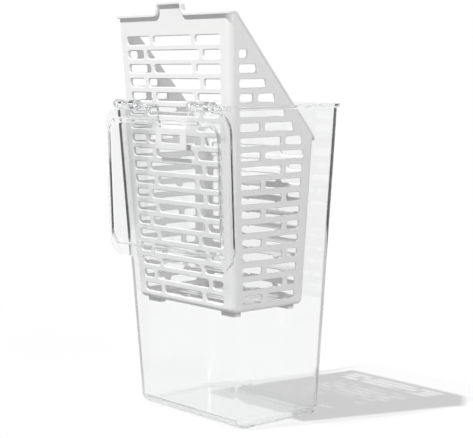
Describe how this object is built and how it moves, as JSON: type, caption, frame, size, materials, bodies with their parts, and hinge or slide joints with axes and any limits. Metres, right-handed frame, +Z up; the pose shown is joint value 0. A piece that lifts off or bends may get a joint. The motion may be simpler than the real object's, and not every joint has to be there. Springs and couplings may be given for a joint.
{
  "type": "herb keeper",
  "caption": "Tall tapered clear container with a hinged clear flap lid and a white slotted lift-out basket that hangs raised by a hook on a notch in the front wall.",
  "frame": {"origin": "centre of the container's flat base, on the surface it stands on", "axes": "+Z up, -Y out of the hinged and notched front wall, X along the hinge line"},
  "size_m": [0.149, 0.1129, 0.3032],
  "materials": {
    "clear_body": "clear glossy moulded plastic",
    "clear_lid": "clear glossy moulded plastic",
    "white_basket": "white satin moulded plastic"
  },
  "bodies": {
    "container": {"container": "clear_body"},
    "lid": {"lid": "clear_lid"},
    "basket": {"basket": "white_basket"}
  },
  "joints": [
    {"name": "lid_hinge", "type": "hinge", "parent": "container", "child": "lid", "pos_m": [0, -0.0579, 0.2298], "axis": [-1, 0, 0], "range_deg": [-4, 180]},
    {"name": "basket_lift", "type": "slide", "parent": "container", "child": "basket", "axis": [0, 0, 1], "range_m": [0, 0.16]}
  ]
}
